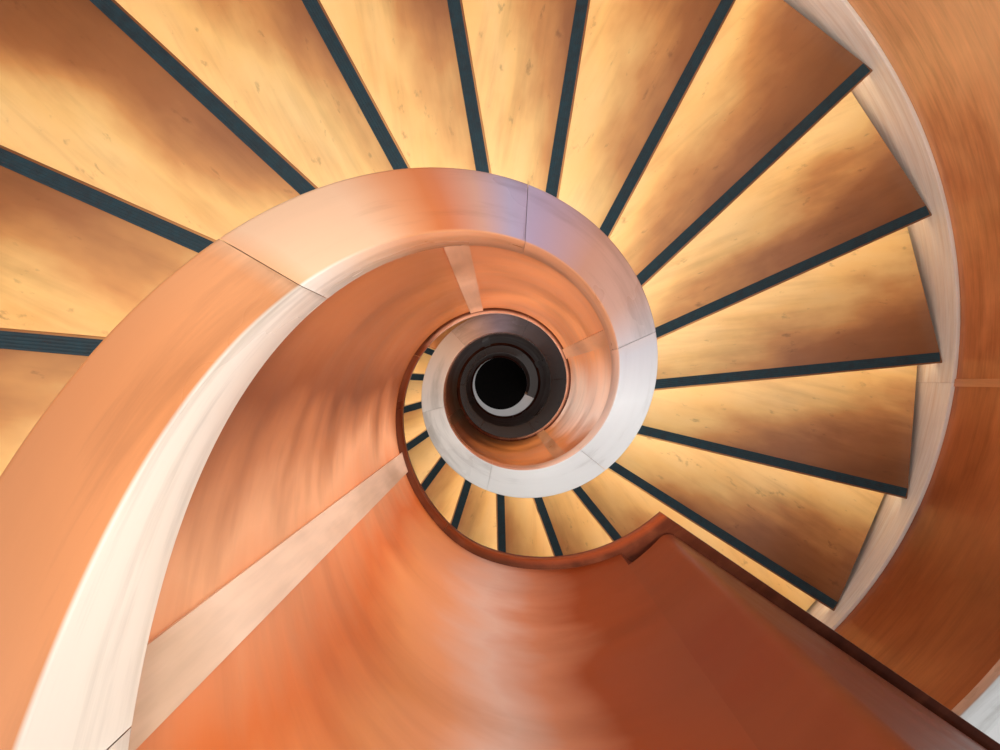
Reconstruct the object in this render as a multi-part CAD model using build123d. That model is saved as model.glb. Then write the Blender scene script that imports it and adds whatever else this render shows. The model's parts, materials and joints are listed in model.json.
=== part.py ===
from build123d import *
import os
from math import ceil, cos, degrees, floor, radians, sin

os.makedirs("parts", exist_ok=True)

# A two-storey helical timber stair round an open well, in millimetres and degrees.
# It climbs counter-clockwise seen from above. A place along it is told in steps:
# 0 is the first riser, and each step turns the stair by step_angle.

# Rise and plan
riser = 170.0
flight_steps = 24
landing_steps = 4
storeys = 2
step_angle = 18.835
first_riser_angle = 350.9

# Walls either side of the steps
well_panel_radius = 335.0
inner_wall_thickness = 87.0
string_face_radius = 1900.0
string_thickness = 18.0
outer_wall_thickness = 87.0
end_gap = 0.3
bed_gap = 0.3

# Coping on top of both walls
guard_height = 1054.0
coping_width = 115.0
inner_coping_depth = 145.0
outer_coping_depth = 50.0
coping_overhang = 20.0

# Steps
tread_thickness = 45.0
riser_thickness = 18.0
nosing_overhang = 62.0
strip_width = 41.0
strip_thickness = 3.0
strip_setback = 7.0
strip_end_gap = 10.0

# Outer string above the nosing line, and the hull under the steps
string_rise = 102.0
hull_drop = 560.0
hull_landing_slope = 0.44
hull_ease_steps = 0.5
soffit_thickness = 30.0
lip_projection = 20.0
soffit_panel_steps = 4.5

# Wall joints, as plan angles that repeat each turn, and their cover strips
well_seam_angles = (31.0, 111.0, 211.0, 309.0)
outer_seam_angles = (1.0, 91.0, 181.0, 271.0)
seam_gap = 2.0
well_cover_width = 50.0
outer_cover_width = 32.0
cover_projection = 8.0
shortest_panel_steps = 1.0

# Ends of the walls
lead_in_steps = 0.5
landing_return_steps = 0.15
landing_end_setback = 14.0
end_post_thickness = 30.0
end_post_projection = 4.0
guard_corner_radius = 20.0
foot_plate_thickness = 12.0
anchor_spacing_out = 1100.0
anchor_spacing_across = 120.0
anchor_hole_radius = 9.0

# Round pieces are built from flat facets, this many to a step, which all of them share.
# The inner coping's boards are a whole number of facets long.
facets = 3
coping_board_facets = 10

inner_wall_radius = well_panel_radius + inner_wall_thickness
outer_wall_radius = string_face_radius + string_thickness
outer_radius = outer_wall_radius + outer_wall_thickness
inner_coping_radius = well_panel_radius - coping_overhang
storey_steps = flight_steps + landing_steps
storey_risers = flight_steps + 1
last_step = storeys * storey_steps
facet_stretch = 1 / cos(radians(step_angle / facets / 2))
foot_end = (hull_drop + soffit_thickness) / riser - 1
storey_names = ("lower", "upper")
landing_names = ("mid_landing", "top_landing")
corner = (Align.MIN, Align.MIN, Align.MIN)
on_floor = (Align.CENTER, Align.CENTER, Align.MIN)


def angle_at(step):
    return first_riser_angle + step_angle * step


def step_at(angle, after):
    """The first place past the given one where the stair points along this plan angle."""
    return after + (angle - angle_at(after)) % 360 / step_angle


def steps_in(length, radius):
    """How many steps a short length takes on a circle."""
    return degrees(length / radius) / step_angle


def landing_start(storey):
    return (storey + 1) * storey_steps - landing_steps


def landing_height(storey):
    return (storey + 1) * storey_risers * riser


def slope_changes():
    """Where the nosing line eases onto a landing and off it: the place, the change in risers
    a step, and how far to either side of the place it is spread."""
    eased = 1 - 1 / landing_steps
    changes = []
    for storey in range(storeys - 1):
        changes.append((landing_start(storey), -eased, landing_steps / 2))
        changes.append((landing_start(storey) + landing_steps, eased, landing_steps / 2))
    return changes


def line_height(step, changes):
    """Height of the nosing line with these changes of slope."""
    level = 1.0 + step
    for place, change, ease in changes:
        past = step - place
        if past >= ease:
            level += change * past
        elif past > -ease:
            level += change * (past + ease) ** 2 / (4 * ease)
    return riser * level


# The copings turn level on the top landing, and the hull under it less steep
top_start = landing_start(storeys - 1)
coping_changes = slope_changes() + [(top_start, -1.0, landing_steps / 2)]
hull_changes = slope_changes() + [(top_start, hull_landing_slope - 1, hull_ease_steps)]


def coping_top(step):
    return line_height(step, coping_changes) + guard_height


def inner_coping_bottom(step):
    return coping_top(step) - inner_coping_depth


def outer_coping_bottom(step):
    return coping_top(step) - outer_coping_depth


def string_top(step):
    return line_height(step, coping_changes) + string_rise


def soffit_top(step):
    return line_height(step, hull_changes) - hull_drop


def soffit_bottom(step):
    return soffit_top(step) - soffit_thickness


def wall_base(step):
    return soffit_top(step) + bed_gap


def inner_wall_head(step):
    return inner_coping_bottom(step) - bed_gap


def outer_wall_head(step):
    return outer_coping_bottom(step) - bed_gap


def cover_base(step):
    return string_top(step) + bed_gap


def plate_top(step):
    return foot_plate_thickness


def foot_base(step):
    return foot_plate_thickness + bed_gap


def ground(step):
    return 0.0


def point_at(step, radius, height=ground):
    """A point on the facets, whose middles touch a circle of this radius. Between two facet
    corners it lies on the straight line."""
    lower = floor(step * facets) / facets
    ends = []
    for place in (lower, lower + 1 / facets):
        turned = radians(angle_at(place))
        out = radius * facet_stretch
        ends.append(Vector(out * cos(turned), out * sin(turned), height(place)))
    return ends[0] + (ends[1] - ends[0]) * ((step - lower) * facets)


def facet_corners(start, end):
    """The two ends of a stretch, with the facet corners that lie between them."""
    inside = range(floor(start * facets) + 1, ceil(end * facets))
    return [start] + [number / facets for number in inside] + [end]


def flat_face(*corners):
    return Face(Wire.make_polygon(corners, close=True))


def folded(inner, outer, next_inner, next_outer, dished):
    """A twisted facet as two flat triangles, folded up or down along its diagonal."""
    if dished:
        return [
            flat_face(inner, outer, next_outer), flat_face(inner, next_outer, next_inner)]
    return [flat_face(inner, outer, next_inner), flat_face(outer, next_outer, next_inner)]


def curved_piece(start, end, radius_in, radius_out, bottom, top, dished=False):
    """A piece with upright curved sides, whose bottom and top heights follow the stair."""
    sections = [
        [point_at(step, radius, height) for height in (bottom, top)
         for radius in (radius_in, radius_out)]
        for step in facet_corners(start, end)
    ]
    faces = []
    for low_in, low_out, high_in, high_out in (sections[0], sections[-1]):
        faces.append(flat_face(low_in, low_out, high_out, high_in))
    for here, after in zip(sections[:-1], sections[1:]):
        for side in (0, 1):
            faces.append(flat_face(here[side], here[side + 2], after[side + 2], after[side]))
        for level in (0, 2):
            faces += folded(*here[level:level + 2], *after[level:level + 2], dished)
    return Solid(Shell(faces))


def seams_between(start, end, angles):
    """The panel joints between two places, none of them close to an end."""
    places = []
    place = start
    while True:
        place = min(step_at(angle, place + shortest_panel_steps) for angle in angles)
        if place > end - shortest_panel_steps:
            return places
        places.append(place)


def on_facets(places):
    """The same places, each moved to the nearest facet corner."""
    return [round(place * facets) / facets for place in places]


def panels(start, end, seams, radius_in, radius_out, bottom, top, dished=False):
    """Curved pieces between the joints, with a gap at each joint."""
    gap = steps_in(seam_gap, radius_out) / 2
    edges = [start - gap] + seams + [end + gap]
    pieces = []
    for low, high in zip(edges[:-1], edges[1:]):
        pieces.append(curved_piece(
            low + gap, high - gap, radius_in, radius_out, bottom, top, dished))
    return pieces


def placed(shape, step, height):
    """A piece drawn with its riser along +X, turned and lifted to its place."""
    return shape.moved(Location((0, 0, height), (0, 0, angle_at(step))))


# Steps


def step_outline(span_steps, back_overlap):
    """Plan of a tread or landing, with its riser along +X and straight front and back edges
    between two round walls."""
    turned = radians(step_angle * span_steps)
    near = inner_wall_radius / 2
    reach = string_face_radius * 1.5
    rim = [(near, -nosing_overhang), (reach, -nosing_overhang)]
    for part in (0.25, 0.5, 0.75):
        rim.append((reach * cos(turned * part), reach * sin(turned * part)))
    for distance in (reach, near):
        rim.append((
            distance * cos(turned) - back_overlap * sin(turned),
            distance * sin(turned) + back_overlap * cos(turned),
        ))
    wedge = make_face(Polyline(*rim, close=True).edges())
    places = facet_corners(-1 + 1 / facets, span_steps + 1 - 1 / facets)
    sides = [point_at(place, inner_wall_radius + end_gap) for place in places]
    sides += [point_at(place, string_face_radius - end_gap) for place in reversed(places)]
    ring = make_face(Polyline(*sides, close=True).edges())
    return ring.rotate(Axis.Z, -first_riser_angle) & wedge


def treads(storey):
    tread = extrude(step_outline(1, riser_thickness), amount=tread_thickness).solid()
    pieces = []
    for number in range(flight_steps):
        height = (storey * storey_risers + number + 1) * riser - tread_thickness
        pieces.append(placed(tread, storey * storey_steps + number, height))
    return pieces


def riser_board(bottom):
    """A board that stands on the step below and carries the next tread's front."""
    start = inner_wall_radius * facet_stretch + end_gap
    length = string_face_radius - end_gap - start
    height = riser - tread_thickness - bottom
    board = Box(length, riser_thickness, height, align=corner).solid()
    return board.moved(Location((start, 0, bottom)))


def risers(storey):
    pieces = []
    for number in range(storey_risers):
        level = storey * storey_risers + number
        board = riser_board(0 if level else foot_plate_thickness)
        pieces.append(placed(board, storey * storey_steps + number, level * riser))
    return pieces


def nosing_strips(storey):
    start = inner_wall_radius + strip_end_gap
    length = string_face_radius - strip_end_gap - start
    strip = Box(length, strip_width, strip_thickness, align=corner).solid()
    strip = strip.moved(Location((start, strip_setback - nosing_overhang, 0)))
    pieces = []
    for number in range(storey_risers):
        height = (storey * storey_risers + number + 1) * riser
        pieces.append(placed(strip, storey * storey_steps + number, height))
    return pieces


# Walls, copings and covers

outer_post_steps = steps_in(end_post_thickness, outer_wall_radius)
inner_post_steps = steps_in(end_post_thickness, well_panel_radius)
guard_back = landing_end_setback + lip_projection
guard_front = guard_back + inner_wall_thickness
guard_coping_side = (coping_width - inner_wall_thickness) / 2


def landing_side(solid, offset):
    """The piece cut off along a line parallel to the top landing's end, this far before it."""
    size = 2 * outer_radius
    cutter = Box(size, size, coping_top(last_step) + riser, align=corner)
    cutter = cutter.moved(Location((0, -offset, 0)))
    return (solid - placed(cutter, last_step, 0)).solid()


def trim_last(pieces, offset):
    """The last piece of a run stops this far before the top landing's end line."""
    return pieces[:-1] + [landing_side(pieces[-1], offset)]


def split_storeys(seams):
    """The joint nearest above the mid landing's middle parts the lower from the upper node."""
    middle = landing_start(0) + landing_steps / 2
    return min(place for place in seams if place > middle)


def inner_run(start, seams, radius_in, radius_out, bottom, top, guard_offset):
    """A run from the foot to the top landing's end, parted into a lower and an upper node."""
    parting = split_storeys(seams)
    gap = steps_in(seam_gap, radius_out) / 2
    lower_seams = [place for place in seams if place < parting]
    upper_seams = [place for place in seams if place > parting]
    lower = panels(start, parting - gap, lower_seams, radius_in, radius_out, bottom, top)
    upper = panels(parting + gap, last_step, upper_seams, radius_in, radius_out, bottom, top)
    return lower, trim_last(upper, guard_offset)


coping_board_steps = coping_board_facets / facets
coping_boards = ceil((last_step - shortest_panel_steps) / coping_board_steps)
coping_seams = [number * coping_board_steps for number in range(1, coping_boards)]
well_seams = seams_between(foot_end, last_step, well_seam_angles)


def well_walls():
    foot_panel = curved_piece(
        -lead_in_steps, foot_end - steps_in(seam_gap, inner_wall_radius),
        well_panel_radius, inner_wall_radius, foot_base, inner_wall_head)
    lower, upper = inner_run(
        foot_end, well_seams, well_panel_radius, inner_wall_radius,
        wall_base, inner_wall_head, guard_front)
    return [foot_panel] + lower, upper


def inner_copings():
    start = -lead_in_steps - inner_post_steps
    return inner_run(
        start, coping_seams, inner_coping_radius, inner_coping_radius + coping_width,
        inner_coping_bottom, coping_top, guard_front + guard_coping_side)


def well_covers():
    half = steps_in(well_cover_width, well_panel_radius) / 2
    parting = split_storeys(well_seams)
    covers = ([], [])
    for place in [foot_end + half] + well_seams:
        cover = curved_piece(
            place - half, place + half, well_panel_radius - cover_projection,
            well_panel_radius - end_gap, wall_base, inner_wall_head)
        covers[place >= parting].append(cover)
    return covers


def outer_ends(storey):
    start = storey * storey_steps - lead_in_steps
    return start, landing_start(storey) + landing_return_steps


def outer_run(storey, radius_in, radius_out, bottom, top, seams):
    """Pieces of one storey's outer wall. At the foot they stand on the plate."""
    start, end = outer_ends(storey)
    if storey:
        return panels(start, end, seams, radius_in, radius_out, bottom, top)
    gap = steps_in(seam_gap, radius_out)
    foot = curved_piece(start, foot_end - gap, radius_in, radius_out, foot_base, top)
    return [foot] + panels(foot_end, end, seams, radius_in, radius_out, bottom, top)


def outer_seams(storey):
    start, end = outer_ends(storey)
    return seams_between(max(start, foot_end), end, outer_seam_angles)


def outer_walls(storey):
    return outer_run(
        storey, outer_wall_radius + end_gap, outer_radius, wall_base, outer_wall_head,
        outer_seams(storey))


def outer_strings(storey):
    return outer_run(
        storey, string_face_radius, outer_wall_radius, wall_base, string_top,
        outer_seams(storey))


def outer_copings(storey):
    start, end = outer_ends(storey)
    start -= outer_post_steps
    end += outer_post_steps
    seams = on_facets(seams_between(start, end, outer_seam_angles))
    return panels(
        start, end, seams, string_face_radius, string_face_radius + coping_width,
        outer_coping_bottom, coping_top)


def outer_covers(storey):
    half = steps_in(outer_cover_width, outer_wall_radius) / 2
    covers = []
    for place in outer_seams(storey):
        covers.append(curved_piece(
            place - half, place + half, outer_wall_radius - cover_projection,
            outer_wall_radius, cover_base, outer_wall_head))
    return covers


def outer_end_posts(storey):
    """Upright boards that close the ends of an outer wall and its string."""
    start, end = outer_ends(storey)
    posts = []
    for low, high in ((start - outer_post_steps, start), (end, end + outer_post_steps)):
        base = ground if low < 0 else wall_base
        posts.append(curved_piece(
            low, high, string_face_radius, outer_radius + end_post_projection,
            base, outer_wall_head))
    return posts


def inner_end_post():
    return [curved_piece(
        -lead_in_steps - inner_post_steps, -lead_in_steps,
        well_panel_radius - end_post_projection, inner_wall_radius + end_post_projection,
        ground, inner_wall_head)]


# Hull, foot and landings


def soffit_panels():
    """The underside in equal panels, parted into a lower and an upper node."""
    count = round((last_step - foot_end) / soffit_panel_steps)
    length = (last_step - foot_end) / count
    seams = [foot_end + length * number for number in range(1, count)]
    pieces = panels(
        foot_end, last_step, seams, well_panel_radius - lip_projection,
        outer_radius + lip_projection, soffit_bottom, soffit_top, dished=True)
    return pieces[:count // 2], trim_last(pieces[count // 2:], landing_end_setback)


def foot_plate():
    """The base plate that the walls' feet stand on, with its four anchor holes."""
    end = foot_end - steps_in(end_gap, inner_wall_radius)
    plate = curved_piece(
        -lead_in_steps, end, well_panel_radius, outer_radius, ground, plate_top)
    hole = Cylinder(anchor_hole_radius, foot_plate_thickness, align=on_floor)
    for out in (-anchor_spacing_out / 2, anchor_spacing_out / 2):
        for across in (-anchor_spacing_across / 2, anchor_spacing_across / 2):
            plate -= hole.moved(Location(foot_centre() + Vector(out, across, 0)))
    return [plate.solid()]


def landing_floor(storey):
    last = storey == storeys - 1
    outline = step_outline(landing_steps, -guard_front if last else riser_thickness)
    slab = extrude(outline, amount=tread_thickness).solid()
    return [placed(slab, landing_start(storey), landing_height(storey) - tread_thickness)]


def landing_edge(storey, bottom, top):
    """A curved piece along the landing's open side, between the posts or up to the guard."""
    start = outer_ends(storey)[1] + outer_post_steps
    if storey < storeys - 1:
        end = outer_ends(storey + 1)[0] - outer_post_steps
        return [curved_piece(start, end, string_face_radius, outer_radius, bottom, top)]
    piece = curved_piece(start, last_step, string_face_radius, outer_radius, bottom, top)
    return [landing_side(piece, guard_front)]


def landing_threshold(storey):
    """The strip of floor over the edge beam, which meets the storey's own floor."""
    height = landing_height(storey)
    return landing_edge(storey, lambda step: height - tread_thickness, lambda step: height)


def landing_beam(storey):
    height = landing_height(storey) - tread_thickness
    return landing_edge(storey, wall_base, lambda step: height)


def guard_piece(radius_in, radius_out, front, back, bottom, top):
    """A straight piece across the top landing's end. Its inner end follows the well, and the
    corner between the well and the open side is rounded."""
    plan = Rectangle(radius_out, front - back, align=(Align.MIN, Align.MAX))
    plan = plan.moved(Location((0, -back, 0))) - Circle(radius_in).rotate(Axis.Z, 180)
    plan = fillet(plan.vertices().sort_by(Axis.X)[1], guard_corner_radius)
    piece = extrude(plan.face(), amount=top - bottom).solid()
    return [placed(piece, last_step, bottom)]


def guard_wall():
    return guard_piece(
        well_panel_radius, outer_radius, guard_front - end_gap, guard_back,
        wall_base(last_step), inner_wall_head(last_step))


def guard_coping():
    return guard_piece(
        inner_coping_radius, outer_radius + guard_coping_side,
        guard_front + guard_coping_side - end_gap, guard_back - guard_coping_side,
        inner_coping_bottom(last_step), coping_top(last_step))


def foot_centre():
    """The middle of the foot plate, where the stair's origin lies."""
    middle = (foot_end - lead_in_steps) / 2
    return point_at(middle, (well_panel_radius + outer_radius) / 2)


def write(name, pieces):
    shape = pieces[0] if len(pieces) == 1 else Compound(children=pieces)
    centre = foot_centre()
    export_step(shape.moved(Location((-centre.X, -centre.Y, 0))), f"parts/{name}.step")


def write_all():
    for kind, runs in (
        ("well_wall", well_walls()),
        ("inner_coping", inner_copings()),
        ("well_joint_covers", well_covers()),
        ("soffit", soffit_panels()),
    ):
        for storey, pieces in enumerate(runs):
            write(f"{storey_names[storey]}_{kind}", pieces)
    for kind, make in (
        ("treads", treads),
        ("risers", risers),
        ("nosing_strips", nosing_strips),
        ("outer_wall", outer_walls),
        ("outer_string", outer_strings),
        ("outer_coping", outer_copings),
        ("outer_joint_covers", outer_covers),
        ("outer_end_posts", outer_end_posts),
    ):
        for storey in range(storeys):
            write(f"{storey_names[storey]}_{kind}", make(storey))
    for kind, make in (
        ("floor", landing_floor),
        ("threshold", landing_threshold),
        ("edge_beam", landing_beam),
    ):
        for storey in range(storeys):
            write(f"{landing_names[storey]}_{kind}", make(storey))
    write("foot_plate", foot_plate())
    write("inner_end_post", inner_end_post())
    write("landing_guard_wall", guard_wall())
    write("landing_guard_coping", guard_coping())


write_all()
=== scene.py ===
import json
import math
import random

import bmesh
import bpy
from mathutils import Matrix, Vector

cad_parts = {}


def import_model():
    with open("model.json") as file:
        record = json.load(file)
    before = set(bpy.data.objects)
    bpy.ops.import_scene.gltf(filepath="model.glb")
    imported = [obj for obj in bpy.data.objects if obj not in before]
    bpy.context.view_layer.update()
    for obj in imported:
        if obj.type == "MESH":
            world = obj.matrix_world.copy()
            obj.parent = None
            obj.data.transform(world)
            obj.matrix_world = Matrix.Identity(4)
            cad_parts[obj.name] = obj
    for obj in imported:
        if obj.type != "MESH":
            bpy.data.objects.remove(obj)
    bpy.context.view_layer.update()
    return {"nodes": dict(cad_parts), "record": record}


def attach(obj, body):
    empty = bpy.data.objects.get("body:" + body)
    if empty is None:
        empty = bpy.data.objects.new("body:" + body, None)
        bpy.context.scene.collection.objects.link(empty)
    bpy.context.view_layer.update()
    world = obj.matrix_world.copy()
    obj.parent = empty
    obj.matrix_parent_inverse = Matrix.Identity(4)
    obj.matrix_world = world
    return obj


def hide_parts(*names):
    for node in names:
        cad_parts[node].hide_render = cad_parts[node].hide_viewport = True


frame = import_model()
scene = bpy.context.scene
chance = random.Random(7)

# The stair's sizes, in metres and degrees. A place along it is told in steps from the
# first riser, and each step turns the stair by step_angle.

riser = 0.170
flight_steps = 24
landing_steps = 4
storeys = 2
step_angle = 18.835
first_riser_angle = 350.9

well_panel_radius = 0.335
inner_wall_thickness = 0.087
string_face_radius = 1.900
string_thickness = 0.018
outer_wall_thickness = 0.087

guard_height = 1.054
coping_width = 0.115
inner_coping_depth = 0.145
outer_coping_depth = 0.050
coping_overhang = 0.020

tread_thickness = 0.045
riser_thickness = 0.018
nosing_overhang = 0.062
strip_width = 0.041
strip_thickness = 0.003
strip_setback = 0.007
strip_end_gap = 0.010
strip_ribs = 5

string_rise = 0.102
hull_drop = 0.560
hull_landing_slope = 0.44
hull_ease_steps = 0.5
soffit_thickness = 0.030
lip_projection = 0.020
soffit_panel_steps = 4.5

well_seam_angles = (31.0, 111.0, 211.0, 309.0)
outer_seam_angles = (1.0, 91.0, 181.0, 271.0)
facets = 3
coping_board_steps = 10 / facets
seam_gap = 0.0008
well_cover_width = 0.050
outer_cover_width = 0.032
cover_projection = 0.008
shortest_panel_steps = 1.0

lead_in_steps = 0.5
landing_return_steps = 0.15
landing_end_setback = 0.014
guard_corner_radius = 0.020
end_post_thickness = 0.030
foot_plate_thickness = 0.012
bed_gap = 0.0003

# Pieces that only this script has: the lights under the nosings, and a dark plate in the well as
# painted shade at its bottom
light_width = 0.012
light_depth = 0.006
light_setback = 0.012
light_end_gap = 0.020
shade_plate_thickness = 0.006
shade_plate_gap = 0.002
shade_plate_bevel = 0.002

# The rounded edges of the pieces
panel_edge = 0.001
cover_edge = 0.002
string_edge = 0.003
soffit_edge = 0.004
coping_edge = 0.006
tread_edge = 0.006

# How finely the curved pieces are divided
crease_angle = 35
rows_per_step = 14
cover_rows_per_step = 12
soffit_rows_per_step = 24
landing_rows = 28
guard_curve_rows = 8
guard_face_rows = 12
guard_edge_rows = 3
shade_plate_corners = 72

# How light each board of a run is, from 0 to 1, in turn
wall_tones = (0.2, 0.75, 0.5, 0.35)
inner_coping_tones = (0.2, 0.8, 0.5, 0.35, 0.65)
outer_coping_tones = (0.9, 0.4, 0.7)
soffit_tones = (0.3, 0.6, 0.45)

inner_wall_radius = well_panel_radius + inner_wall_thickness
outer_wall_radius = string_face_radius + string_thickness
outer_radius = outer_wall_radius + outer_wall_thickness
inner_coping_radius = well_panel_radius - coping_overhang
storey_steps = flight_steps + landing_steps
storey_risers = flight_steps + 1
last_step = storeys * storey_steps
foot_end = (hull_drop + soffit_thickness) / riser - 1
guard_back = landing_end_setback + lip_projection
guard_front = guard_back + inner_wall_thickness
guard_coping_side = (coping_width - inner_wall_thickness) / 2
storey_names = ("lower", "upper")

# The stair turns round the middle of the well
openings = frame["record"]["physics"]["openings"]
well_box = [opening["box_m"] for opening in openings if opening["name"] == "open_well"][0]
axis = (Vector(well_box[0]) + Vector(well_box[1])) / 2
axis.z = 0


# The lines that the walls, copings and hull follow


def angle_at(step):
    return first_riser_angle + step_angle * step


def step_at(angle, after):
    """The first place past the given one where the stair points along this plan angle."""
    return after + (angle - angle_at(after)) % 360 / step_angle


def steps_in(length, radius):
    """How many steps a short length takes on a circle."""
    return math.degrees(length / radius) / step_angle


def landing_start(storey):
    return (storey + 1) * storey_steps - landing_steps


def landing_height(storey):
    return (storey + 1) * storey_risers * riser


def slope_changes():
    """Where the nosing line eases onto the mid landing and off it."""
    eased = 1 - 1 / landing_steps
    changes = []
    for storey in range(storeys - 1):
        changes.append((landing_start(storey), -eased, landing_steps / 2))
        changes.append((landing_start(storey) + landing_steps, eased, landing_steps / 2))
    return changes


def line_height(step, changes):
    """Height of the nosing line. Each change of slope has its place, its size in risers a
    step, and how far to either side it is spread."""
    level = 1.0 + step
    for place, change, ease in changes:
        past = step - place
        if past >= ease:
            level += change * past
        elif past > -ease:
            level += change * (past + ease) ** 2 / (4 * ease)
    return riser * level


# The copings turn level on the top landing, and the hull under it less steep
top_start = landing_start(storeys - 1)
coping_changes = slope_changes() + [(top_start, -1.0, landing_steps / 2)]
hull_changes = slope_changes() + [(top_start, hull_landing_slope - 1, hull_ease_steps)]


def coping_top(step):
    return line_height(step, coping_changes) + guard_height


def inner_coping_bottom(step):
    return coping_top(step) - inner_coping_depth


def outer_coping_bottom(step):
    return coping_top(step) - outer_coping_depth


def string_top(step):
    return line_height(step, coping_changes) + string_rise


def hull_line(step):
    """Top of the soffit."""
    return line_height(step, hull_changes) - hull_drop


def wall_base(step):
    """Bottom of the walls, which stand on the soffit, and at the foot on the foot plate."""
    return max(hull_line(step) + bed_gap, foot_plate_thickness)


def soffit_bottom(step):
    return hull_line(step) - soffit_thickness


def turned_point(x, y, turned, height):
    """A point of the plan, turned round the stair's axis and lifted to this height."""
    return axis + Vector((
        x * math.cos(turned) - y * math.sin(turned),
        x * math.sin(turned) + y * math.cos(turned), height))


def point_at(step, radius, height):
    return turned_point(radius, 0.0, math.radians(angle_at(step)), height)


# Mesh building


class Build:
    """Gathers many solids into one mesh. Each point keeps where it lies in its own board:
    grain holds the distance along, across and through it, tone a number per board, place the
    step it lies at, and side runs from -1 next to the well to 1 on the outer side. On the
    steps, place is the share of the way to the back, and side the distance to the next
    riser."""

    def __init__(self):
        self.points, self.faces = [], []
        self.grain, self.tone, self.place, self.side = [], [], [], []

    def add(self, points, faces, grain, tone, place, side=None):
        first = len(self.points)
        self.points += points
        self.faces += [[first + corner for corner in face] for face in faces]
        self.grain += grain
        self.tone += [tone] * len(points)
        self.place += place
        self.side += side or [0.0] * len(points)

    def object(self, name, material, slot, nodes=()):
        """Makes the piece. nodes are the CAD nodes that it stands for."""
        mesh = bpy.data.meshes.new(name)
        mesh.from_pydata(self.points, [], self.faces)
        for label, kind, values in (
            ("grain", "FLOAT_VECTOR", [value for point in self.grain for value in point]),
            ("tone", "FLOAT", self.tone), ("place", "FLOAT", self.place),
            ("side", "FLOAT", self.side),
        ):
            layer = mesh.attributes.new(label, kind, "POINT")
            layer.data.foreach_set("vector" if kind == "FLOAT_VECTOR" else "value", values)
        shaped = bmesh.new()
        shaped.from_mesh(mesh)
        bmesh.ops.recalc_face_normals(shaped, faces=shaped.faces)
        shaped.to_mesh(mesh)
        shaped.free()
        mesh.shade_smooth()
        mesh.set_sharp_from_angle(angle=math.radians(crease_angle))
        mesh.materials.append(material)
        piece = bpy.data.objects.new(name, mesh)
        scene.collection.objects.link(piece)
        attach(piece, "root")
        if nodes:
            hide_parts(*nodes)


def far_off():
    """A shift of the grain, so that no two boards show the same stretch of it."""
    return Vector((chance.uniform(0, 40), chance.uniform(0, 40), chance.uniform(0, 40)))


def grid_faces(rows, columns):
    """Faces of a closed tube of sections, with both ends capped."""
    faces = []
    for row in range(rows - 1):
        for column in range(columns):
            after = (column + 1) % columns
            faces.append([
                row * columns + column, row * columns + after,
                (row + 1) * columns + after, (row + 1) * columns + column])
    faces.append(list(range(columns))[::-1])
    faces.append([(rows - 1) * columns + column for column in range(columns)])
    return faces


def rounded(radius_in, radius_out, bottom, top, edge, fine=2):
    """A four-sided section with rounded corners: a list of (radius, height line, offset)."""
    corners = (
        (radius_in, bottom, 1, 1, 180), (radius_out, bottom, -1, 1, 270),
        (radius_out, top, -1, -1, 0), (radius_in, top, 1, -1, 90),
    )
    section = []
    for radius, line, inward, upward, start in corners:
        for number in range(fine + 1):
            turned = math.radians(start + 90 * number / fine)
            section.append((radius + edge * (inward + math.cos(turned)), line,
                            edge * (upward + math.sin(turned))))
    return section


def sweep(build, section, start, end, fineness, tone, shift=None):
    """A solid that follows the stair. start and end are places, or functions of radius."""
    start_at = start if callable(start) else lambda radius: start
    end_at = end if callable(end) else lambda radius: end
    radii = [radius for radius, _, _ in section]
    middle = (min(radii) + max(radii)) / 2
    half = (max(radii) - min(radii)) / 2
    rows = max(3, math.ceil((end_at(middle) - start_at(middle)) * fineness) + 1)
    shift = shift or far_off()
    points, grain, place, side = [], [], [], []
    for row in range(rows):
        part = row / (rows - 1)
        for radius, line, offset in section:
            step = start_at(radius) + (end_at(radius) - start_at(radius)) * part
            height = line(step) + offset
            points.append(point_at(step, radius, height))
            along = math.radians(step_angle) * step * middle
            upright = height - coping_top(step)
            grain.append(shift + Vector((along, upright, radius - middle)))
            place.append(step)
            side.append((radius - middle) / half)
    build.add(points, grid_faces(rows, len(section)), grain, tone, place, side)


def seams_between(start, end, angles):
    """The panel joints between two places, none of them close to an end."""
    places = []
    place = start
    while True:
        place = min(step_at(angle, place + shortest_panel_steps) for angle in angles)
        if place > end - shortest_panel_steps:
            return places
        places.append(place)


def guard_line(offset):
    """Where the plane across the top landing's end cuts each radius, this far before it."""
    return lambda radius: last_step - math.degrees(math.asin(offset / radius)) / step_angle


def panels(build, section, start, end, seams, fineness, tones, last_shift=None):
    """Sweeps between the joints, with a gap at each joint."""
    gap = steps_in(seam_gap, section[-1][0]) / 2
    edges = [start] + list(seams) + [end]
    for number, (low, high) in enumerate(zip(edges[:-1], edges[1:])):
        last = number == len(edges) - 2
        begin = low + gap if number else low
        finish = high if last else high - gap
        sweep(build, section, begin, finish, fineness, tones[number % len(tones)],
              last_shift if last else None)


# Materials


def linear(red, green, blue):
    """A colour given as it looks on a screen, from 0 to 255."""
    return (*((value / 255) ** 2.2 for value in (red, green, blue)), 1.0)


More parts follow.
